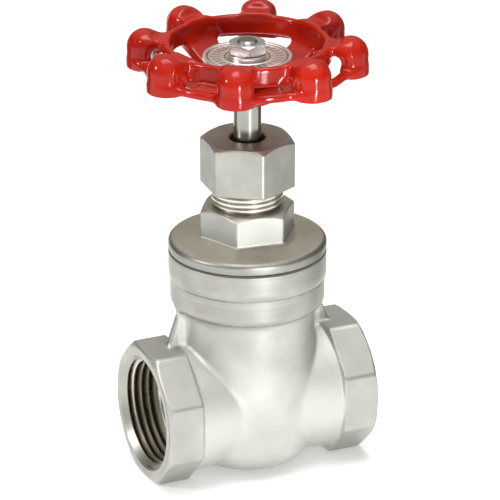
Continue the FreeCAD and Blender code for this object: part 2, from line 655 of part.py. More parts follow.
def spring_washer():
    """split washer, its ends cut on the slant"""
    low_z = SQUARE_TOP_Z + PLATE_THICKNESS
    ring = tube(WASHER_R, STEM_END_R + THREAD_CLEARANCE, low_z, low_z + WASHER_THICKNESS)
    corner = V(0, -WASHER_SPLIT / 2, -WASHER_THICKNESS)
    split = Part.makeBox(WASHER_R + 1, WASHER_SPLIT, 2 * WASHER_THICKNESS, corner)
    split.rotate(V(0, 0, 0), V(1, 0, 0), WASHER_SPLIT_ANGLE)
    split.translate(V(0, 0, low_z + WASHER_THICKNESS / 2))
    return ring.cut(split)


def handwheel_nut():
    low_z = SQUARE_TOP_Z + PLATE_THICKNESS + WASHER_THICKNESS
    top_z = low_z + SMALL_NUT_HEIGHT
    hexagon = chamfered_prism(6, SMALL_NUT_AF, low_z, top_z, SMALL_NUT_TURN, True, True)
    return hexagon.cut(Part.makeCylinder(STEM_END_R, SMALL_NUT_HEIGHT, V(0, 0, low_z)))


# ---- every sub-part, by the name of its node ---------------------------------------------------------
def all_parts():
    washer_z = STEM_COLLAR_LOW_Z - STEM_END_PLAY - THRUST_WASHER_THICKNESS
    packing_z = STUFFING_BOX_Z + PACKING_WASHER_THICKNESS
    stem_bore_r = STEM_R + STEM_RUNNING_GAP
    parts = {
        "body": body(),
        "wedge": wedge(),
        "bonnet_gasket": bonnet_gasket(),
        "bonnet": bonnet(),
        "stem_lock_ring": stem_lock_ring(),
        "lower_thrust_washer": thrust_washer(washer_z),
        "upper_thrust_washer": upper_thrust_washer(),
        "packing_washer": tube(STUFFING_BOX_R - SLIP_FIT, stem_bore_r, STUFFING_BOX_Z, packing_z),
        "gland_follower": gland_follower(),
        "packing_nut": packing_nut(),
        "stem": stem(),
        "handwheel": handwheel(),
        "nameplate": nameplate(),
        "spring_washer": spring_washer(),
        "handwheel_nut": handwheel_nut(),
    }
    for index in range(PACKING_RING_COUNT):
        parts[f"packing_ring_{index + 1}"] = packing_ring(index)
    return parts


os.makedirs("parts", exist_ok=True)
for name, shape in all_parts().items():
    print(name, shape.isValid(), len(shape.Solids), round(shape.Volume / 1000, 3), "cm3")
    shape.exportStep(f"parts/{name}.step")
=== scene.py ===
import json
import math

import bmesh
import bpy
import numpy as np
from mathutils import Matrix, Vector


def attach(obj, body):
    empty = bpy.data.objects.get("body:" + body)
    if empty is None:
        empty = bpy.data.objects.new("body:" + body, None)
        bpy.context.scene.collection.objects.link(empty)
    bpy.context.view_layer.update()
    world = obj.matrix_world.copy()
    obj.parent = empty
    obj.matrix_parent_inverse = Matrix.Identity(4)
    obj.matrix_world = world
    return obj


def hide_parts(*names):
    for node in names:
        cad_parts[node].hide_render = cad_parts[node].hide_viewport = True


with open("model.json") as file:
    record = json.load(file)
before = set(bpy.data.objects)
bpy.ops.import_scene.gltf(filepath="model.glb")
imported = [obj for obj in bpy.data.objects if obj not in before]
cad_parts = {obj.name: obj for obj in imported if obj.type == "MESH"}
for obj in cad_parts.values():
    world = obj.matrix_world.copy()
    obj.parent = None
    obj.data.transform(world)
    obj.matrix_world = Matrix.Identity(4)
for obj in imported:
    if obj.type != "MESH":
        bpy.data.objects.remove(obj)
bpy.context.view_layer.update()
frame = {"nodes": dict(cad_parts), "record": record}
scene = bpy.context.scene
nodes = frame["nodes"]

# Lengths are metres, in the frame of the CAD model: the flow runs along X and the stem along +Z.
MM = 0.001

# Main sizes of the modelled pieces, in millimetres, as in the CAD model.
PORT_Z = 20.0                # height of the ports' axis
END_X = 33.5                 # outer face of each octagon
END_BACK_X = 22.5            # inner face of each octagon
END_FLATS = 40.0
BARREL_R = 19.6
BARREL_LOW_Z = 1.0
BARREL_CORNER = 9.0
COLLAR_R = 22.6
COLLAR_LOW_Z = 50.2
COLLAR_CORNER = 2.2
CASTING_TOP_Z = 58.9         # the turned band starts here
BAND_R = 23.1
BAND_TOP_Z = 66.6
SPIGOT_BORE_R = 20.0
RIB_LOW_Z = 33.0
RIB_TOP_Z = 51.0
PIPE_CREST_R = 15.145        # G1 thread in the ports
PIPE_THREAD_DEPTH = 1.48
PIPE_PITCH = 2.309
PIPE_CHAMFER = 2.15          # length of the cone at the mouth of each port
PORT_BOTTOM_X = 19.5         # inner end of the threaded hole
PORT_THREAD_X = 21.6         # where its plain run-out ends and the thread begins
FLANGE_LOW_Z = 67.1          # bonnet
FLANGE_R = 23.1
RIM_Z = 70.5
CONE_TOP_Z = 71.9
HEXAGON_FLATS = 24.9
HEXAGON_TOP_Z = 80.8
HEXAGON_TURN = -126.97       # direction of one corner, degrees
NECK_CREST_R = 10.4          # thread for the packing nut
NECK_PITCH = 1.5
NECK_TOP_Z = 94.95
NUT_FLATS = 24.4
NUT_LOW_Z = 86.6
NUT_TOP_Z = 101.35
NUT_TURN = -95.0
WHEEL_TURN = 14.3            # direction of one knob, degrees
KNOB_COUNT = 8
SPOKE_COUNT = 4
KNOB_R = 5.15
KNOB_CENTRE_R = 29.6
DOME_Z = 127.85
KNOB_LOW_Z = 122.0
KNOB_INNER_R = 27.5
RING_R = 23.1                # middle of the wheel's ring
HUB_R = 8.6
HUB_LOW_Z = 113.6
PLATE_R = 12.8
PLATE_LOW_Z = 125.3


# ---- camera -------------------------------------------------------------------------------
def make_camera():
    """long lens, looking down on the valve from its front left"""
    azimuth, elevation, distance = math.radians(24.37), math.radians(21.88), 1.1597
    back = Vector((
        -math.sin(azimuth) * math.cos(elevation),
        -math.cos(azimuth) * math.cos(elevation),
        math.sin(elevation),
    ))
    right = Vector((math.cos(azimuth), -math.sin(azimuth), 0))
    up = back.cross(right)
    pivot = Vector((0, 0, 0.080))
    shift_right, shift_down = 0.00076, 0.01302
    data = bpy.data.cameras.new("camera")
    data.lens, data.sensor_width = 287.95, 36
    data.clip_start, data.clip_end = 0.05, 20
    camera = bpy.data.objects.new("camera", data)
    camera.location = pivot + back * distance
    target = pivot + right * shift_right - up * shift_down
    camera.rotation_euler = (target - camera.location).to_track_quat("-Z", "Y").to_euler()
    scene.collection.objects.link(camera)
    scene.camera = camera


make_camera()


# ---- node materials -------------------------------------------------------------------------
class Nodes:
    """a material's node tree, with short ways to add and join nodes"""

    def __init__(self, name):
        self.material = bpy.data.materials.new(name)
        self.material.use_nodes = True
        self.tree = self.material.node_tree
        self.shader = self.tree.nodes["Principled BSDF"]
        self.place = self.add("ShaderNodeTexCoord").outputs["Object"]

    def add(self, kind, inputs=None, **settings):
        node = self.tree.nodes.new(kind)
        for key, value in settings.items():
            setattr(node, key, value)
        for key, value in (inputs or {}).items():
            if isinstance(value, bpy.types.NodeSocket):
                self.tree.links.new(value, node.inputs[key])
            else:
                node.inputs[key].default_value = value
        return node

    def noise(self, scale, detail=3.0, rough=0.55, place=None):
        inputs = {"Vector": place or self.place, "Scale": scale, "Detail": detail, "Roughness": rough}
        return self.add("ShaderNodeTexNoise", inputs).outputs["Fac"]

    def height(self):
        return self.add("ShaderNodeSeparateXYZ", {0: self.place}).outputs["Z"]

    def ramp(self, value, stops):
        """colour ramp through (position, colour) stops"""
        node = self.add("ShaderNodeValToRGB", {"Fac": value})
        ramp = node.color_ramp
        while len(ramp.elements) < len(stops):
            ramp.elements.new(0.5)
        for element, (position, colour) in zip(ramp.elements, stops):
            element.position = position
            element.color = (*colour, 1)
        return node.outputs["Color"]

    def levels(self, value, low, high, from_low=0.3, from_high=0.7):
        """number spread over a new range"""
        inputs = {
            "Value": value,
            "From Min": from_low,
            "From Max": from_high,
            "To Min": low,
            "To Max": high,
        }
        return self.add("ShaderNodeMapRange", inputs).outputs["Result"]

    def math(self, operation, first, second=0.0):
        return self.add("ShaderNodeMath", {0: first, 1: second}, operation=operation).outputs[0]

    def bump(self, height, distance, strength=1.0, under=None):
        inputs = {"Height": height, "Distance": distance, "Strength": strength}
        if under is not None:
            inputs["Normal"] = under
        return self.add("ShaderNodeBump", inputs).outputs["Normal"]

    def radius(self):
        """distance from the stem's axis"""
        split = self.add("ShaderNodeSeparateXYZ", {0: self.place})
        return self.hypot(split.outputs["X"], split.outputs["Y"])

    def hypot(self, a, b):
        squares = self.math("ADD", self.math("MULTIPLY", a, a), self.math("MULTIPLY", b, b))
        return self.math("SQRT", squares)

    def set(self, **values):
        """values and links for the main shader, by socket name with _ for spaces"""
        for key, value in values.items():
            socket = self.shader.inputs[key.replace("_", " ")]
            if isinstance(value, bpy.types.NodeSocket):
                self.tree.links.new(value, socket)
            else:
                socket.default_value = value
        return self.material


def cast_steel():
    """bead-blasted stainless casting: fine grain, clouds and soft pits; darker towards the top of the
    barrel, which is painted shade, and lighter beyond the barrel's radius on the necks and ribs, which
    is painted light
    """
    n = Nodes("cast_stainless")
    clouds = n.noise(70, 4.0)
    grain = n.noise(1900, 2.0, 0.6)
    pits = n.noise(520, 2.0, 0.5)
    height = n.height()
    # painted shade: the colour darkens from 25 mm up to 50 mm high
    tone = n.math("SUBTRACT", clouds, n.levels(height, 0.0, 0.45, 25 * MM, 50 * MM))
    # painted light: the colour lightens beyond 19.7 mm from the stem's axis, on the necks and ribs
    tone = n.math("ADD", tone, n.levels(n.radius(), 0.0, 0.35, 19.7 * MM, 21.0 * MM))
    stops = [(0.0, (0.47, 0.468, 0.440)), (0.30, (0.58, 0.58, 0.546)), (0.72, (0.68, 0.68, 0.646))]
    colour = n.ramp(tone, stops)
    rough = n.levels(clouds, 0.60, 0.52)
    waves = n.bump(pits, 0.00006, 0.5)
    normal = n.bump(grain, 0.00005, 0.8, waves)
    return n.set(Base_Color=colour, Metallic=1.0, Roughness=rough, Normal=normal)


def turned_steel(name, streaks, shade=1.0):
    """lathe-turned stainless: fine rings about the stem's axis; streaks is how far they show; shade
    scales the colours, which makes lighter or darker copies that paint light or shade onto single
    parts
    """
    dark, light = np.array((0.36, 0.354, 0.322)) * shade, np.array((0.435, 0.431, 0.397)) * shade
    n = Nodes(name)
    radius = n.radius()
    path = n.add("ShaderNodeCombineXYZ", {"X": radius, "Y": n.height()}).outputs[0]
    rings = n.noise(2600, 2.0, 0.5, path)
    clouds = n.noise(120, 3.0)
    tone = n.math("ADD", clouds, n.levels(n.noise(650, 3.0, 0.65, path), -streaks, streaks))
    colour = n.ramp(tone, [(0.30, dark), (0.70, light)])
    rough = n.levels(clouds, 0.46, 0.38)
    normal = n.bump(rings, 0.00002, 0.45)
    return n.set(Base_Color=colour, Metallic=1.0, Roughness=rough, Normal=normal)


def polished_steel():
    """ground and polished stem, with faint marks round it"""
    n = Nodes("polished_stainless")
    path = n.add("ShaderNodeCombineXYZ", {"Z": n.height()}).outputs[0]
    rings = n.noise(1500, 2.0, 0.5, path)
    clouds = n.noise(160, 3.0)
    colour = n.ramp(clouds, [(0.3, (0.30, 0.294, 0.265)), (0.7, (0.36, 0.354, 0.322))])
    rough = n.levels(clouds, 0.22, 0.16)
    normal = n.bump(rings, 0.00001, 0.4)
    return n.set(Base_Color=colour, Metallic=1.0, Roughness=rough, Normal=normal)


def ground_steel(name, shade=1.0):
    """belt-ground flats of the octagons and the bonnet's hexagon: satin, darker than the casting;
    shade scales the colours, which makes the hexagon's darker copy, painted shade
    """
    dark, light = np.array((0.455, 0.455, 0.428)) * shade, np.array((0.535, 0.535, 0.507)) * shade
    n = Nodes(name)
    clouds = n.noise(90, 4.0)
    grain = n.noise(1300, 3.0, 0.6)
    colour = n.ramp(clouds, [(0.30, dark), (0.70, light)])
    rough = n.levels(clouds, 0.52, 0.44)
    return n.set(Base_Color=colour, Metallic=1.0, Roughness=rough, Normal=n.bump(grain, 0.00003, 0.5))


def washer_steel():
    """rolled strip of the washers"""
    n = Nodes("washer_stainless")
    clouds = n.noise(300, 3.0)
    colour = n.ramp(clouds, [(0.3, (0.55, 0.54, 0.53)), (0.7, (0.66, 0.65, 0.64))])
    rough = n.levels(clouds, 0.36, 0.24)
    return n.set(Base_Color=colour, Metallic=1.0, Roughness=rough, Normal=n.bump(clouds, 0.00004, 0.4))


def gasket_black():
    """pressed fibre with graphite"""
    n = Nodes("gasket_black")
    fibre = n.noise(2200, 4.0, 0.7)
    colour = n.ramp(fibre, [(0.35, (0.05, 0.047, 0.043)), (0.7, (0.11, 0.104, 0.096))])
    rough = n.levels(fibre, 0.65, 0.85)
    return n.set(Base_Color=colour, Roughness=rough, Normal=n.bump(fibre, 0.00005, 0.6))


def ptfe():
    """white packing"""
    n = Nodes("ptfe")
    fibre = n.noise(900, 3.0)
    colour = n.ramp(fibre, [(0.3, (0.78, 0.77, 0.74)), (0.7, (0.88, 0.87, 0.85))])
    rough = n.levels(fibre, 0.4, 0.55)
    return n.set(Base_Color=colour, Roughness=rough, Normal=n.bump(fibre, 0.00004, 0.5))


def cut_thread(name, distance, crest_r, root_r, flank, root_oil_and_shade):
    """thread coloured by the distance from its axis: light crests over darker flanks and near-black
    roots, the darkening into the roots being painted shade, with a little oil
    """
    n = Nodes(name)
    depth = n.levels(distance(n), 0.0, 1.0, crest_r * MM, root_r * MM)
    stops = [(0.0, (0.68, 0.655, 0.59)), (0.42, flank), (0.95, root_oil_and_shade)]
    rough = n.levels(n.noise(260, 3.0), 0.34, 0.26)
    return n.set(Base_Color=n.ramp(depth, stops), Metallic=1.0, Roughness=rough)


def port_axis_distance(n):
    """distance from the line of the two ports"""
    split = n.add("ShaderNodeSeparateXYZ", {0: n.place})
    rise = n.math("SUBTRACT", split.outputs["Z"], PORT_Z * MM)
    return n.hypot(split.outputs["Y"], rise)


def red_paint():
    """gloss enamel on a die casting, slightly wavy like orange peel"""
    n = Nodes("red_paint")
    waves = n.noise(330, 2.0, 0.5)
    dust = n.noise(2400, 2.0, 0.6)
    clouds = n.noise(110, 3.0)
    colour = n.ramp(clouds, [(0.3, (0.275, 0.0060, 0.0020)), (0.7, (0.36, 0.011, 0.0035))])
    rough = n.levels(dust, 0.10, 0.15)
    normal = n.bump(waves, 0.00008, 0.25)
    return n.set(Base_Color=colour, Roughness=rough, Normal=normal, IOR=1.42, Specular_IOR_Level=0.33)


def plate_metal():
    """printed aluminium disc: bright rim, thin red rings and a ring of plain strokes"""
    n = Nodes("plate_aluminium")
    radius = n.radius()
    path = n.add("ShaderNodeCombineXYZ", {"X": radius}).outputs[0]
    rings = n.noise(3000, 2.0, 0.5, path)
    clouds = n.noise(250, 3.0)
    bare, red, pink = (0.86, 0.81, 0.79), (0.50, 0.17, 0.14), (0.62, 0.38, 0.34)
    bands = [
        (0.0, bare), (0.475, bare), (0.49, red), (0.515, red), (0.53, bare),
        (0.60, bare), (0.875, bare), (0.885, red), (0.905, red), (0.915, bare),
    ]
    printed = n.ramp(n.math("DIVIDE", radius, PLATE_R * MM), bands)
    stroke_count, stroke_low_r, stroke_high_r = 30.0, 8.0, 10.4
    split = n.add("ShaderNodeSeparateXYZ", {0: n.place})
    angle = n.math("ARCTAN2", split.outputs["Y"], split.outputs["X"])
    stroke = n.math("GREATER_THAN", n.math("SINE", n.math("MULTIPLY", angle, stroke_count)), 0.15)
    low = n.math("GREATER_THAN", radius, stroke_low_r * MM)
    high = n.math("LESS_THAN", radius, stroke_high_r * MM)
    stroke = n.math("MULTIPLY", stroke, n.math("MULTIPLY", low, high))
    mix = n.add("ShaderNodeMixRGB", {"Fac": stroke, "Color1": printed, "Color2": (*pink, 1)})
    rough = n.levels(clouds, 0.36, 0.28)
    bump = n.bump(rings, 0.00002, 0.5)
    return n.set(Base_Color=mix.outputs["Color"], Metallic=1.0, Roughness=rough, Normal=bump)


MATERIALS = {
    "cast_stainless": cast_steel(),
    "turned_stainless": turned_steel("turned_stainless", 0.05),
    "polished_stainless": polished_steel(),
    "washer_stainless": washer_steel(),
    "gasket_black": gasket_black(),
    "ptfe": ptfe(),
    "red_paint": red_paint(),
    "plate_aluminium": plate_metal(),
}
# finishes of single surfaces, beside the record's slots; the copies scaled by shade are painted shade
# on the hexagon's sides, the bonnet's rim and, slightly, the collar, and painted light, lighter and
# warmer, on the bonnet
GROUND_STEEL = ground_steel("ground_stainless")
HEXAGON_SHADED_STEEL = ground_steel("ground_hexagon_painted_shade", 0.84)
COLLAR_STEEL = turned_steel("turned_collar", 0.22, 0.97)
BONNET_LIT_STEEL = turned_steel("turned_bonnet_painted_light", 0.10, (1.24, 1.21, 1.13))
RIM_SHADED_STEEL = turned_steel("turned_rim_painted_shade", 0.15, 0.78)
# the dark root colours of both threads are painted shade in the grooves, with a little oil
PORT_THREAD = cut_thread(
    "port_thread", port_axis_distance, 15.3, 16.6, (0.50, 0.45, 0.35), (0.13, 0.105, 0.066)
)
NECK_THREAD = cut_thread(
    "neck_thread", Nodes.radius, 10.35, 9.7, (0.56, 0.54, 0.49), (0.34, 0.32, 0.28)
)


def dress_cad_nodes():
    """each CAD node gets the finished material of its slot"""
    for node, slot in frame_slots().items():
        mesh = nodes[node].data
        for index in range(len(mesh.materials)):
            mesh.materials[index] = MATERIALS[slot]


def frame_slots():
    """material slot of each node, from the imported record"""
    found = {}
    for part in frame["record"]["subparts"]:
        found[part["node"]] = part["material_slot"]
    return found


# ---- smooth solids from distance fields ------------------------------------------------------
def smooth_min(a, b, k):
    """union of two distance fields, with a fillet of about k between them"""
    h = np.maximum(k - np.abs(a - b), 0.0) / k
    return np.minimum(a, b) - h * h * k * 0.25


def smooth_max(a, b, k):
    return -smooth_min(-a, -b, k)


def box_2d(u, v, half_u, half_v, corner):
    """distance to a rectangle with rounded corners"""
    a = np.abs(u) - half_u + corner
    b = np.abs(v) - half_v + corner
    outside = np.hypot(np.maximum(a, 0.0), np.maximum(b, 0.0))
    return outside + np.minimum(np.maximum(a, b), 0.0) - corner


def upright(r, z, radius, low_z, corner):
    """distance to a round bar that stands on low_z, rounded below, and runs up past every cut"""
    half = 60.0
    return box_2d(r, z - low_z - half, radius, half, corner)


def field_normals(field, p):
    """gradient of the field at points, not normalised"""
    step = 0.01
    g = np.empty_like(p)
    for axis in range(3):
        shift = np.zeros(3)
        shift[axis] = step
        g[:, axis] = (field(*(p + shift).T) - field(*(p - shift).T)) / (2 * step)
    return g


def solid_from_field(name, field, low, high, cell):
    """closed mesh of the places where the field, in millimetres, is below zero"""
    axes = [np.arange(l, h + cell, cell) for l, h in zip(low, high)]
    grid = field(*np.meshgrid(*axes, indexing="ij")).astype(np.float32)
    inside = grid < 0
    shape = np.array(grid.shape) - 1
    corners = [(i, j, k) for i in (0, 1) for j in (0, 1) for k in (0, 1)]

    def window(data, corner):
        return data[tuple(slice(c, c + n) for c, n in zip(corner, shape))]

    count = sum(window(inside, c).astype(np.int8) for c in corners)
    cells = np.argwhere((count > 0) & (count < 8))
    number = np.full(shape, -1, np.int64)
    number[tuple(cells.T)] = np.arange(len(cells))
    total = np.zeros((len(cells), 3))
    hits = np.zeros(len(cells))
    for first in corners:
        for axis in range(3):
            if first[axis]:
                continue
            second = list(first)
            second[axis] = 1
            a = grid[tuple((cells + first).T)]
            b = grid[tuple((cells + second).T)]
            crossed = (a < 0) != (b < 0)
            t = np.where(crossed, a / np.where(crossed, a - b, 1.0), 0.0)
            point = np.array(first, float) + np.outer(t, np.array(second) - np.array(first))
            total += point * crossed[:, None]
            hits += crossed
    points = np.array(low) + (cells + total / hits[:, None]) * cell
    for _ in range(3):
        g = field_normals(field, points)
        move = field(*points.T)[:, None] * g / np.maximum((g * g).sum(1), 0.2)[:, None]
        points -= np.clip(move, -cell / 2, cell / 2)
    quads = []
    for axis in range(3):
        u, v = (axis + 1) % 3, (axis + 2) % 3
        one = [slice(None)] * 3
        two = [slice(None)] * 3
        one[axis], two[axis] = slice(0, -1), slice(1, None)
        change = inside[tuple(one)] != inside[tuple(two)]
        edge = np.argwhere(change)
        edge = edge[(edge[:, u] > 0) & (edge[:, v] > 0)]
        edge = edge[(edge[:, u] < shape[u]) & (edge[:, v] < shape[v])]
        ring = []
        for du, dv in ((1, 1), (0, 1), (0, 0), (1, 0)):
            cell_index = edge.copy()
            cell_index[:, u] -= du
            cell_index[:, v] -= dv
            ring.append(number[tuple(cell_index.T)])
        ring = np.stack(ring, 1)
        leaving = inside[tuple(edge.T)]
        ring[leaving] = ring[leaving][:, ::-1]
        quads.append(ring)
    quads = np.concatenate(quads)[:, ::-1]
    normals = field_normals(field, points)
    normals /= np.linalg.norm(normals, axis=1)[:, None]
    mesh = bpy.data.meshes.new(name)
    mesh.from_pydata((points * MM).tolist(), [], quads.tolist())
    mesh.shade_smooth()
    mesh.normals_split_custom_set_from_vertices(normals.tolist())
    obj = bpy.data.objects.new(name, mesh)
    scene.collection.objects.link(obj)
    return obj


def finish_piece(obj, body, slot, *replaced, material=None):
    """material, body and hidden CAD nodes of a new piece; the slot picks the material when none is
    given
    """
    obj.data.materials.append(material or MATERIALS[slot])
    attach(obj, body)
    if replaced:
        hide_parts(*replaced)
    return obj


# ---- handwheel -----------------------------------------------------------------------------------
def folded(x, y, turn, count):
    """coordinates turned into the sector of the nearest of count equal arms"""
    angle = np.arctan2(y, x) - math.radians(turn)
    step = 2 * math.pi / count
    angle = angle - np.round(angle / step) * step
    r = np.hypot(x, y)
    return r * np.cos(angle), r * np.sin(angle), r


def handwheel_field(x, y, z):
    """die-cast wheel: ring, wavy band, eight knobs, four sloping spokes and the hub"""
    u, v, r = folded(x, y, WHEEL_TURN, KNOB_COUNT)
    ring = box_2d(r - RING_R, z - 127.65, 1.1, 2.95, 1.0)
    lobe = np.hypot(u - 28.3, v) - 6.0
    outline = smooth_min(lobe, r - 30.0, 3.0)
    band_r = np.maximum(outline, KNOB_INNER_R - r)
    band = smooth_max(band_r, np.abs(z - 123.25) - 1.25, 1.2)
    knob = np.hypot(np.hypot(u - KNOB_CENTRE_R, v), np.maximum(z - DOME_Z, 0.0)) - KNOB_R
    knob = np.maximum(knob, KNOB_LOW_Z - z)
    knob = smooth_max(knob, np.minimum(KNOB_INNER_R - r, 4.0), 1.0)
    bridge = smooth_max(box_2d(v, z - 129.45, 4.3, 1.45, 1.0), np.abs(u - 26.0) - 3.6, 0.5)
    cu, cv, _ = folded(x, y, WHEEL_TURN, SPOKE_COUNT)
    slope = 7.0 / 13.4
    plane = (z - 116.4 - (cu - HUB_R) * slope) / math.hypot(1.0, slope)
    spoke = box_2d(cv, plane, 5.25, 1.6, 1.1)
    spoke = smooth_max(spoke, np.maximum(cu - 27.8, 3.0 - cu), 1.0)
    spoke = smooth_max(spoke, KNOB_LOW_Z - z - np.maximum(KNOB_INNER_R - cu, 0) * 4, 0.8)
    hub = smooth_max(r - HUB_R + (z - HUB_LOW_Z) * 0.02, np.abs(z - 119.4) - 5.8, 0.8)
    wheel = smooth_min(ring, spoke, 3.2)
    wheel = smooth_min(wheel, hub, 2.4)
    knobs = smooth_min(knob, band, 1.4)
    knobs = smooth_min(knobs, bridge, 2.4)
    wheel = smooth_min(wheel, knobs, 1.6)
    return smooth_max(wheel, 4.25 - r, 0.3)


def make_handwheel():
    low, high = (-36, -36, 112.5), (36, 36, 134.5)
    wheel = solid_from_field("handwheel_casting", handwheel_field, low, high, 0.5)
    finish_piece(wheel, "stem_and_wheel", "red_paint", "handwheel")


# ---- body ---------------------------------------------------------------------------------------
def polygon_prism(u, v, sides, across_flats, corner_turn, edge):
    """distance to an endless prism with a regular outline and slightly rounded edges"""
    d = None
    for k in range(sides):
        a = math.radians(corner_turn + 180.0 / sides + 360.0 * k / sides)
        face = u * math.cos(a) + v * math.sin(a) - across_flats / 2
        d = face if d is None else smooth_max(d, face, edge)
    return d


def casting_field(x, y, z):
    """barrel, necks, octagons, ribs and the lower collar, hollowed out as the real body is"""
    along = np.abs(x)
    r = np.hypot(x, y)
    pipe_r = np.hypot(y, z - PORT_Z)
    barrel = upright(r, z, BARREL_R, BARREL_LOW_Z, BARREL_CORNER)
    collar = upright(r, z, COLLAR_R, COLLAR_LOW_Z, COLLAR_CORNER)
    neck = np.maximum(pipe_r - 17.4 - along * 0.09, along - 26)
    outside = smooth_min(barrel, neck, 1.3)
    outside = smooth_min(outside, collar, 2.6)
    slant = ((along - 22) * 12 + (z - RIB_TOP_Z) * 4.2) / 12.7
    web = smooth_max(np.abs(y) - 1.5, slant, 1.2)
    web = np.maximum(web, np.maximum(z - RIB_TOP_Z, RIB_LOW_Z - z))
    outside = smooth_min(outside, web, 1.8)
    octagon = polygon_prism(y, z - PORT_Z, 8, END_FLATS, 22.5, 0.7)
    octagon = smooth_max(octagon, np.maximum(along - END_X, END_BACK_X - along), 0.7)
    octagon = smooth_max(octagon, (pipe_r - 19.7) * 0.5 - (END_X - along) * 0.866, 0.4)
    outside = smooth_min(outside, octagon, 0.5)
    outside = np.maximum(outside, z - CASTING_TOP_Z)
    port = np.maximum(pipe_r - 17.6, PORT_BOTTOM_X - along)
    seat = np.maximum(pipe_r - 13.6, 8.35 + (z - PORT_Z) * 0.0875 - along)
    guide = np.maximum(np.maximum(along - 1.2, 12.6 - np.abs(y)), z - 57)
    well = np.maximum(np.maximum(r - 16.4, 4.4 - z), -np.minimum(seat, guide))
    hollow = np.minimum(np.minimum(port, pipe_r - 11.5), well)
    hollow = np.minimum(hollow, np.maximum(r - SPIGOT_BORE_R, CASTING_TOP_Z - 0.7 - z))
    return smooth_max(outside, -hollow, 0.3)


def lathe(name, profile, edge=0.0, segments=160):
    """ring turned about the stem's axis from a closed list of (radius, height) corners"""
    bm = bmesh.new()
    rows = []
    for k in range(segments):
        a = 2 * math.pi * k / segments
        c, s = math.cos(a) * MM, math.sin(a) * MM
        rows.append([bm.verts.new((r * c, r * s, z * MM)) for r, z in profile])
    for k in range(segments):
        near, far = rows[k], rows[(k + 1) % segments]
        for m in range(len(profile)):
            n = (m + 1) % len(profile)
            bm.faces.new((near[m], far[m], far[n], near[n]))
    return mesh_piece(name, bm, edge)


def mesh_piece(name, bm, edge):
    """object from a bmesh, with normals outward, corners eased by a bevel and smooth rounds"""
    bmesh.ops.recalc_face_normals(bm, faces=bm.faces)
    mesh = bpy.data.meshes.new(name)
    bm.to_mesh(mesh)
    bm.free()
    mesh.shade_smooth()
    mesh.set_sharp_from_angle(angle=math.radians(35))
    obj = bpy.data.objects.new(name, mesh)
    scene.collection.objects.link(obj)
    if edge:
        bevel = obj.modifiers.new("eased_edges", "BEVEL")
        bevel.width, bevel.segments = edge * MM, 3
        bevel.limit_method, bevel.angle_limit = "ANGLE", math.radians(25)
        bevel.harden_normals = True
    return obj


def thread_radius(turns, crest_r, root_r, crest_flat=0.06):
    """radius of a thread with sloping flanks; crest_flat is half the crest's share of the pitch"""
    from_crest = abs((turns + 0.5) % 1.0 - 0.5)
    share = (from_crest - crest_flat) / (0.44 - crest_flat)
    return crest_r + (root_r - crest_r) * min(max(share, 0.0), 1.0)


def helix_sleeve(name, put, form, pitch, low, high, head, tail):
    """open sleeve whose rows follow a thread's helix, with plain rings before and after it

    put(radius, angle, station) places a point; form(turns, station) gives the radius there.
    """
    columns, per_turn = 144, 16
    bm = bmesh.new()

    def ring(radius, station):
        return [bm.verts.new(put(radius, 2 * math.pi * c / columns, station)) for c in range(columns)]

    def join(first, second):
        for c in range(columns):
            d = (c + 1) % columns
            bm.faces.new((first[c], first[d], second[d], second[c]))

    grid = []
    for row in range(per_turn * (math.ceil((high - low) / pitch) + 2)):
        line = []
        for c in range(columns):
            station = low + pitch * (row / per_turn + c / columns - 1)
            station = min(max(station, low), high)
            radius = form(station / pitch - c / columns, station)
            line.append(bm.verts.new(put(radius, 2 * math.pi * c / columns, station)))
        grid.append(line)
    for row in range(len(grid) - 1):
        for c in range(columns - 1):
            bm.faces.new((grid[row][c], grid[row][c + 1], grid[row + 1][c + 1], grid[row + 1][c]))
        over = row + per_turn
        if over + 1 < len(grid):
            bm.faces.new((grid[row][-1], grid[over][0], grid[over + 1][0], grid[row + 1][-1]))
    rings = [ring(*corner) for corner in head] + [grid[0]]
    for first, second in zip(rings, rings[1:]):
        join(first, second)
    rings = [grid[-1]] + [ring(*corner) for corner in tail]
    for first, second in zip(rings, rings[1:]):
        join(first, second)
    bmesh.ops.remove_doubles(bm, verts=bm.verts, dist=1e-7)
    bmesh.ops.dissolve_degenerate(bm, edges=bm.edges, dist=1e-7)
    return mesh_piece(name, bm, 0)


def port_thread(name, side):
    """G1 pipe thread with the mouth's chamfer, and the turned end face round it"""
    def put(radius, angle, station):
        height = PORT_Z + radius * math.sin(angle)
        return side * station * MM, radius * math.cos(angle) * MM, height * MM

    def form(turns, station):
        depth = PIPE_THREAD_DEPTH * min(max((station - PORT_THREAD_X) / 1.6, 0.0), 1.0)
        thread = thread_radius(turns, PIPE_CREST_R, PIPE_CREST_R + depth)
        return max(thread, PIPE_CREST_R + station - END_X + PIPE_CHAMFER)

    head = [(17.0, PORT_BOTTOM_X - 0.1)]
    tail = [(17.38, END_X + 0.02), (19.35, END_X + 0.02), (19.45, END_X - 0.3)]
    return helix_sleeve(name, put, form, PIPE_PITCH, PORT_BOTTOM_X, END_X, head, tail)


def neck_thread():
    """thread for the packing nut, with the undercut below it"""
    def put(radius, angle, station):
        return radius * math.cos(angle) * MM, radius * math.sin(angle) * MM, station * MM

    def form(turns, station):
        start = min(max((station - 81.4) / 0.3, 0.0), 1.0)
        crest = min(9.7 + start * 0.7, NECK_CREST_R - max(station - 94.2, 0.0))
        return min(thread_radius(turns, NECK_CREST_R, 9.75, 0.22), crest)

    head, tail = [(9.2, 80.6)], [(9.2, NECK_TOP_Z + 0.02)]
    return helix_sleeve("neck_thread", put, form, NECK_PITCH, 81.0, NECK_TOP_Z, head, tail)


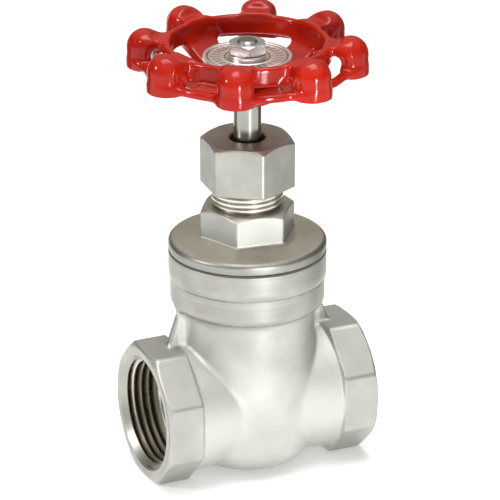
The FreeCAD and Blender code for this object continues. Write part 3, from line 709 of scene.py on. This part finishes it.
def make_body():
    """casting, turned band and the two threaded ports"""
    casting = solid_from_field("body_casting", casting_field, (-35, -24.5, 0), (35, 24.5, 61), 0.5)
    finish_piece(casting, "valve_body", "cast_stainless", "body")
    casting.data.materials.append(GROUND_STEEL)
    casting.data.materials.append(COLLAR_STEEL)
    for face in casting.data.polygons:
        x, y, z = face.center / MM
        if abs(x) > END_BACK_X + 0.2:
            face.material_index = 1
        elif z > COLLAR_LOW_Z + 0.1 and math.hypot(x, y) > 21.5:
            face.material_index = 2
    inner_r = SPIGOT_BORE_R + 0.1
    corners = [
        (inner_r, 58.4), (22.3, 58.4), (22.62, 58.7), (23.0, 59.5),
        (BAND_R, 61.0), (BAND_R, BAND_TOP_Z), (inner_r, BAND_TOP_Z),
    ]
    band = lathe("body_turned_band", corners, 0.22)
    finish_piece(band, "valve_body", "cast_stainless", "body", material=COLLAR_STEEL)
    for name, side in (("inlet_thread", -1), ("outlet_thread", 1)):
        sleeve = port_thread(name, side)
        finish_piece(sleeve, "valve_body", "turned_stainless", "body", material=PORT_THREAD)
        sleeve.data.materials.append(MATERIALS["turned_stainless"])
        for face in sleeve.data.polygons:
            x, y, z = face.center / MM
            chamfer_x = END_X - PIPE_CHAMFER
            chamfer_r = PIPE_CREST_R + abs(x) - chamfer_x
            near_mouth = abs(x) > chamfer_x + 0.05
            on_chamfer = near_mouth and math.hypot(y, z - PORT_Z) < chamfer_r + 0.05
            if on_chamfer or abs(x) > END_X - 0.1:
                face.material_index = 1


# ---- bonnet and nuts ---------------------------------------------------------------------------
def hexagon_field(x, y, z, across_flats, low, top, corner_turn):
    """hexagon bar with its top corners turned off at 30 degrees"""
    r = np.hypot(x, y)
    d = polygon_prism(x, y, 6, across_flats, corner_turn, 0.5)
    d = smooth_max(d, np.maximum(z - top, low - z), 0.4)
    face_r = across_flats / 2 * 0.985
    return smooth_max(d, (r - face_r) * 0.5 - (top - z) * 0.866, 0.3)


def bonnet_field(x, y, z):
    """flange with its shallow cone, hexagon, undercut and the thread for the packing nut"""
    r = np.hypot(x, y)
    slope = z - RIM_Z - (22.5 - np.minimum(r, 22.5)) * 0.186
    flange = smooth_max(r - FLANGE_R, slope, 1.5)
    flange = smooth_max(flange, z - CONE_TOP_Z, 0.2)
    flange = smooth_max(flange, FLANGE_LOW_Z - z, 0.6)
    hexagon = hexagon_field(x, y, z, HEXAGON_FLATS, CONE_TOP_Z - 1, HEXAGON_TOP_Z, HEXAGON_TURN)
    neck = np.maximum(r - 9.45, np.maximum(z - NECK_TOP_Z, 80 - z))
    spigot = np.maximum(r - 19.92, np.maximum(60.0 - z, z - 68))
    solid = np.minimum(smooth_min(flange, hexagon, 0.6), np.minimum(neck, spigot))
    hollow = np.maximum(r - 17.2, z - 66.4)
    for radius, top in ((9.3, 69.6), (9.0, 72.4), (7.3, 76.4), (4.3, 80.0)):
        hollow = np.minimum(hollow, np.maximum(r - radius, z - top))
    hollow = np.minimum(hollow, np.maximum(r - 7.0, 80.0 - z))
    return np.maximum(solid, -hollow)


def packing_nut_field(x, y, z):
    """hexagon cap nut, open below, with the stem's hole in its top"""
    r = np.hypot(x, y)
    nut = hexagon_field(x, y, z, NUT_FLATS, NUT_LOW_Z, NUT_TOP_Z, NUT_TURN)
    hollow = np.minimum(np.maximum(r - 10.45, z - 97.8), r - 5.2)
    hollow = np.minimum(hollow, r - 11.0 + np.maximum(z - NUT_LOW_Z, 0))
    hollow = np.minimum(hollow, r - 5.2 - np.maximum(z - NUT_TOP_Z + 0.4, 0))
    return smooth_max(nut, -hollow, 0.3)


def make_bonnet():
    """bonnet with its neck thread, and the packing nut"""
    bonnet = solid_from_field("bonnet_machined", bonnet_field, (-24, -24, 59), (24, 24, 96), 0.4)
    finish_piece(bonnet, "valve_body", "cast_stainless", "bonnet")
    # the bonnet's lighter, warmer copy of turned steel is painted light
    bonnet.data.materials[0] = BONNET_LIT_STEEL
    bonnet.data.materials.append(HEXAGON_SHADED_STEEL)
    bonnet.data.materials.append(RIM_SHADED_STEEL)
    for face in bonnet.data.polygons:
        x, y, z = face.center / MM
        r = math.hypot(x, y)
        # the hexagon's sides take the darker ground copy and the rim the darker turned copy: painted
        # shade
        beside_hexagon = 71.5 < z < 80.7 and 10 < r < 14.7
        if beside_hexagon and abs(face.normal.z) < 0.6:
            face.material_index = 1
        elif 67.0 < z < 71.5 and r > 22.2:
            face.material_index = 2
    thread = neck_thread()
    finish_piece(thread, "valve_body", "turned_stainless", "bonnet", material=NECK_THREAD)
    low, high = (-15, -15, 86), (15, 15, 102)
    nut = solid_from_field("packing_nut_machined", packing_nut_field, low, high, 0.35)
    finish_piece(nut, "valve_body", "turned_stainless", "packing_nut")


def make_nameplate():
    """pressed disc with a raised rim and two pressed rings"""
    flat, ridge, rim = PLATE_LOW_Z + 0.6, PLATE_LOW_Z + 0.72, PLATE_LOW_Z + 0.9
    corners = [
        (3.08, PLATE_LOW_Z), (PLATE_R, PLATE_LOW_Z), (PLATE_R, rim), (11.95, rim),
        (11.6, flat), (11.0, flat), (10.85, ridge), (10.6, ridge), (10.45, flat),
        (7.6, flat), (7.45, ridge), (7.2, ridge), (7.05, flat), (3.08, flat),
    ]
    plate = lathe("nameplate_pressed", corners, 0.06)
    finish_piece(plate, "stem_and_wheel", "plate_aluminium", "nameplate")


# ---- floor and light ---------------------------------------------------------------------------
def make_floor():
    """white table that glows a little, as one lit from below does"""
    n = Nodes("floor")
    colour = n.ramp(n.noise(3.0, 2.0), [(0.3, (0.86, 0.86, 0.86)), (0.7, (0.88, 0.88, 0.88))])
    n.set(Base_Color=colour, Roughness=0.9, Emission_Color=(1, 1, 1, 1), Emission_Strength=0.28)
    mesh = bpy.data.meshes.new("floor")
    side = 6.0
    corners = [(-side, -side, 0), (side, -side, 0), (side, side, 0), (-side, side, 0)]
    mesh.from_pydata(corners, [], [(0, 1, 2, 3)])
    mesh.materials.append(n.material)
    floor = bpy.data.objects.new("floor", mesh)
    scene.collection.objects.link(floor)


def area_light(name, place, aim, width, height, power):
    data = bpy.data.lights.new(name, "AREA")
    data.shape = "RECTANGLE"
    data.size, data.size_y, data.energy = width, height, power
    light = bpy.data.objects.new(name, data)
    light.location = place
    light.rotation_euler = (Vector(aim) - Vector(place)).to_track_quat("-Z", "Y").to_euler()
    scene.collection.objects.link(light)
    return light


# the directions from the valve to the camera and to the picture's right, on the floor
TOWARD = Vector((-0.41, -0.91, 0))
RIGHT = Vector((0.91, -0.41, 0))

# brightness of the room from behind the valve to behind the camera
HORIZON = [(0.0, (0.40, 0.37, 0.31)), (0.30, (0.14, 0.13, 0.11)), (0.5, (0.05, 0.047, 0.04)),
           (0.70, (0.20, 0.195, 0.18)), (0.85, (0.47, 0.465, 0.446)), (1.0, (0.36, 0.356, 0.342))]


def make_world():
    """light tent: bright overhead, dimmer round the horizon and darkest at the valve's sides"""
    world = bpy.data.worlds.new("studio")
    scene.world = world
    world.use_nodes = True
    tree = world.node_tree

    def ramp(value, stops):
        node = tree.nodes.new("ShaderNodeValToRGB")
        tree.links.new(value, node.inputs["Fac"])
        while len(node.color_ramp.elements) < len(stops):
            node.color_ramp.elements.new(0.5)
        for element, (position, colour) in zip(node.color_ramp.elements, stops):
            element.position = position
            element.color = (*colour, 1)
        return node.outputs["Color"]

    place = tree.nodes.new("ShaderNodeTexCoord").outputs["Generated"]
    facing = tree.nodes.new("ShaderNodeVectorMath")
    facing.operation = "DOT_PRODUCT"
    facing.inputs[1].default_value = TOWARD
    tree.links.new(place, facing.inputs[0])
    spread = tree.nodes.new("ShaderNodeMapRange")
    spread.inputs["From Min"].default_value = -1.0
    tree.links.new(facing.outputs["Value"], spread.inputs["Value"])
    horizon = ramp(spread.outputs["Result"], HORIZON)
    height = tree.nodes.new("ShaderNodeSeparateXYZ")
    tree.links.new(place, height.inputs[0])
    blend = ramp(height.outputs["Z"], [(0.42, (0, 0, 0)), (0.72, (1, 1, 1))])
    mix = tree.nodes.new("ShaderNodeMixRGB")
    tree.links.new(blend, mix.inputs["Fac"])
    tree.links.new(horizon, mix.inputs["Color1"])
    mix.inputs["Color2"].default_value = (0.92, 0.92, 0.90, 1)
    tree.links.new(mix.outputs["Color"], tree.nodes["Background"].inputs["Color"])


def make_light():
    """large softbox overhead, a small one above the left and a narrow one on the right"""
    aim = (0, 0, 0.07)
    top = area_light("softbox_top", (-0.03, -0.06, 1.25), (-0.03, -0.06, 0), 0.8, 0.8, 1.9)
    top.data.spread = math.radians(60)
    area_light("softbox_left", (-0.97, 0.07, 0.62), aim, 0.15, 0.17, 4.4)
    strip = area_light("strip_right", (-0.012, -0.25, 0.10), (0, -0.02, 0.12), 0.026, 0.13, 0.034)
    strip.data.spread = math.radians(40)
    strip.visible_camera = False


def make_flags():
    """two grey cards beside the valve, out of the picture, that give the steel its darker edges"""
    n = Nodes("grey_card")
    fibre = n.noise(400, 3.0)
    colour = n.ramp(fibre, [(0.3, (0.14, 0.135, 0.12)), (0.7, (0.18, 0.175, 0.16))])
    n.set(Base_Color=colour, Roughness=0.9)
    near, far, height, lift = -0.02, -0.30, 0.24, 0.001
    for distance in (-0.22, 0.14):
        corners = []
        for along, rise in ((far, 0), (near, 0), (near, height), (far, height)):
            corners.append(RIGHT * distance + TOWARD * along + Vector((0, 0, rise + lift)))
        mesh = bpy.data.meshes.new("flag")
        mesh.from_pydata(corners, [], [(0, 1, 2, 3)])
        mesh.materials.append(n.material)
        flag = bpy.data.objects.new("flag", mesh)
        flag.visible_camera = False
        flag.visible_shadow = False
        scene.collection.objects.link(flag)


scene.view_settings.view_transform = "Standard"
make_world()
make_floor()
make_light()
make_flags()
dress_cad_nodes()
make_body()
make_bonnet()
make_handwheel()
make_nameplate()
